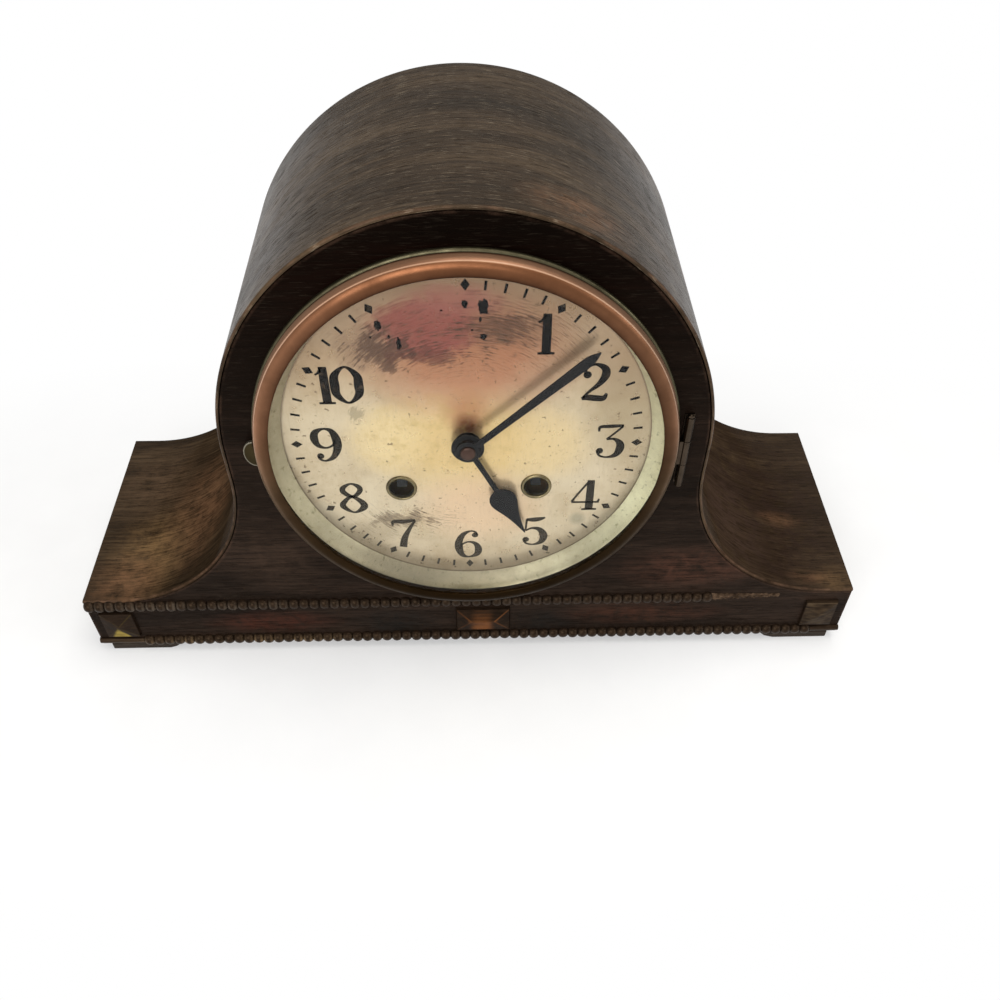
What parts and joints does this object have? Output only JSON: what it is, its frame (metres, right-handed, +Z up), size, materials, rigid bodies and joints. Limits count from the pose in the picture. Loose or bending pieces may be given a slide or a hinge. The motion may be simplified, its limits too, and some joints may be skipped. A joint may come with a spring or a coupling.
{
  "type": "mantel clock",
  "caption": "Tambour mantel clock: round drum on a stepped oak plinth, hinged domed bezel, two-handed dial, striking pendulum movement and a back door.",
  "frame": {"origin": "on the table under the middle of the clock's width and full depth", "axes": "+X to the viewer's right along the plinth, +Y to the back, +Z up; the dial faces -Y"},
  "size_m": [0.356, 0.1398, 0.214],
  "materials": {
    "oak": "dark stained oak, satin varnish",
    "ply": "stained plywood",
    "moulding": "worn dark varnish",
    "brass": "lacquered",
    "copper_brass": "tarnished satin",
    "silvered": "silvered, tarnished",
    "steel": "satin",
    "blued": "black",
    "iron": "rough",
    "glass": "clear"
  },
  "bodies": {
    "case": {"case_front": "oak", "case_wrap": "oak", "foot_left": "oak", "foot_right": "oak", "case_back": "ply", "plinth_base": "ply", "bead_strip_top": "moulding", "bead_strip_bottom": "moulding", "boss_left": "moulding", "boss_centre": "moulding", "boss_right": "moulding", "door_hinge_fixed_leaf": "brass", "dial_flange": "brass", "ferrule_left": "brass", "ferrule_right": "brass", "bezel_hinge_bracket": "brass", "bezel_hinge_pin": "brass", "front_plate": "brass", "back_plate": "brass", "pillar_top_left": "brass", "pillar_top_right": "brass", "pillar_bottom_left": "brass", "pillar_bottom_right": "brass", "back_cock": "brass", "reflector_ring": "silvered", "dial_plate": "silvered", "door_hinge_pin": "steel", "gong_coil": "blued", "gong_block": "iron"},
    "bezel": {"bezel_ring": "copper_brass", "bezel_glass": "glass", "bezel_thumb_tab": "copper_brass", "bezel_hinge_knuckle": "copper_brass"},
    "door": {"back_door": "ply", "door_knob": "brass", "door_hinge_moving_leaf": "brass"},
    "minute": {"minute_hand": "blued", "hand_nut": "brass", "cannon_pinion": "steel"},
    "hour": {"hour_hand": "blued", "hour_wheel": "brass"},
    "pendulum": {"pendulum_rod": "steel", "pendulum_bob": "brass"},
    "minute_wheel": {"minute_wheel": "brass"},
    "going_barrel": {"going_barrel": "brass"},
    "second_wheel": {"second_wheel": "brass"},
    "centre_wheel": {"centre_wheel": "brass"},
    "third_wheel": {"third_wheel": "brass"},
    "escape_wheel": {"escape_wheel": "brass"},
    "pallets": {"pallets": "steel"},
    "strike_barrel": {"strike_barrel": "brass"},
    "strike_second_wheel": {"strike_second_wheel": "brass"},
    "pin_wheel": {"pin_wheel": "brass"},
    "warning_wheel": {"warning_wheel": "brass"},
    "fly": {"fly": "brass"},
    "going_winding_arbor": {"going_winding_arbor": "steel"},
    "strike_winding_arbor": {"strike_winding_arbor": "steel"},
    "going_click": {"going_click": "steel"},
    "strike_click": {"strike_click": "steel"},
    "hammer": {"hammer": "brass"}
  },
  "joints": [
    {"name": "bezel_hinge", "type": "hinge", "parent": "case", "child": "bezel", "pos_m": [0.085, -0.05775, 0.118], "axis": [0, 0, 1], "range_deg": [0, 120]},
    {"name": "back_door_hinge", "type": "hinge", "parent": "case", "child": "door", "pos_m": [-0.0583, 0.0628, 0.086], "axis": [0, 0, 1], "range_deg": [0, 110]},
    {"name": "minute_hand_turn", "type": "hinge", "parent": "case", "child": "minute", "pos_m": [0, 0, 0.118], "axis": [0, 1, 0], "continuous": true},
    {"name": "hour_hand_turn", "type": "hinge", "parent": "case", "child": "hour", "pos_m": [0, 0, 0.118], "axis": [0, 1, 0], "continuous": true},
    {"name": "minute_wheel_turn", "type": "hinge", "parent": "case", "child": "minute_wheel", "pos_m": [0, 0, 0.10551], "axis": [0, 1, 0], "continuous": true},
    {"name": "third_wheel_turn", "type": "hinge", "parent": "case", "child": "third_wheel", "pos_m": [0, 0, 0.13458], "axis": [0, 1, 0], "continuous": true},
    {"name": "going_barrel_turn", "type": "hinge", "parent": "case", "child": "going_barrel", "pos_m": [0.0278, 0, 0.0954], "axis": [0, 1, 0], "continuous": true},
    {"name": "second_wheel_turn", "type": "hinge", "parent": "case", "child": "second_wheel", "pos_m": [0.01904, 0, 0.12201], "axis": [0, 1, 0], "continuous": true},
    {"name": "centre_wheel_turn", "type": "hinge", "parent": "case", "child": "centre_wheel", "pos_m": [0, 0, 0.118], "axis": [0, 1, 0], "continuous": true},
    {"name": "escape_wheel_turn", "type": "hinge", "parent": "case", "child": "escape_wheel", "pos_m": [0, 0, 0.14949], "axis": [0, 1, 0], "continuous": true},
    {"name": "warning_wheel_turn", "type": "hinge", "parent": "case", "child": "warning_wheel", "pos_m": [-0.02116, 0, 0.15205], "axis": [0, 1, 0], "continuous": true},
    {"name": "strike_barrel_turn", "type": "hinge", "parent": "case", "child": "strike_barrel", "pos_m": [-0.0278, 0, 0.0954], "axis": [0, 1, 0], "continuous": true},
    {"name": "strike_second_wheel_turn", "type": "hinge", "parent": "case", "child": "strike_second_wheel", "pos_m": [-0.01904, 0, 0.12201], "axis": [0, 1, 0], "continuous": true},
    {"name": "pin_wheel_turn", "type": "hinge", "parent": "case", "child": "pin_wheel", "pos_m": [-0.02877, 0, 0.13886], "axis": [0, 1, 0], "continuous": true},
    {"name": "fly_turn", "type": "hinge", "parent": "case", "child": "fly", "pos_m": [-0.03013, 0, 0.16102], "axis": [0, 1, 0], "continuous": true},
    {"name": "pendulum_swing", "type": "hinge", "parent": "case", "child": "pendulum", "pos_m": [0, 0, 0.16449], "axis": [0, 1, 0], "range_deg": [-4.5, 4.5]},
    {"name": "pallets_rock", "type": "hinge", "parent": "case", "child": "pallets", "pos_m": [0, 0, 0.16449], "axis": [0, 1, 0], "range_deg": [-4.5, 4.5]},
    {"name": "going_winding_turn", "type": "hinge", "parent": "case", "child": "going_winding_arbor", "pos_m": [0.0278, 0, 0.0954], "axis": [0, 1, 0], "continuous": true},
    {"name": "strike_winding_turn", "type": "hinge", "parent": "case", "child": "strike_winding_arbor", "pos_m": [-0.0278, 0, 0.0954], "axis": [0, 1, 0], "continuous": true},
    {"name": "going_click_lift", "type": "hinge", "parent": "case", "child": "going_click", "pos_m": [0.0318, 0, 0.1065], "axis": [0, 1, 0], "range_deg": [0, 15]},
    {"name": "strike_click_lift", "type": "hinge", "parent": "case", "child": "strike_click", "pos_m": [-0.0318, 0, 0.1065], "axis": [0, -1, 0], "range_deg": [0, 15]},
    {"name": "hammer_lift", "type": "hinge", "parent": "case", "child": "hammer", "pos_m": [-0.05, 0, 0.116], "axis": [0, -1, 0], "range_deg": [0, 20]}
  ],
  "couplings": [
    {"joint": "minute_wheel_turn", "follows": "minute_hand_turn", "ratio": -0.33333},
    {"joint": "hour_hand_turn", "follows": "minute_hand_turn", "ratio": 0.083333},
    {"joint": "centre_wheel_turn", "follows": "third_wheel_turn", "ratio": -0.1},
    {"joint": "second_wheel_turn", "follows": "third_wheel_turn", "ratio": 0.016667},
    {"joint": "going_barrel_turn", "follows": "third_wheel_turn", "ratio": -0.002381},
    {"joint": "escape_wheel_turn", "follows": "third_wheel_turn", "ratio": -10},
    {"joint": "pin_wheel_turn", "follows": "warning_wheel_turn", "ratio": -0.16667},
    {"joint": "strike_second_wheel_turn", "follows": "warning_wheel_turn", "ratio": 0.027778},
    {"joint": "strike_barrel_turn", "follows": "warning_wheel_turn", "ratio": -0.0039683},
    {"joint": "fly_turn", "follows": "warning_wheel_turn", "ratio": -6},
    {"joint": "pallets_rock", "follows": "pendulum_swing", "ratio": 1}
  ]
}
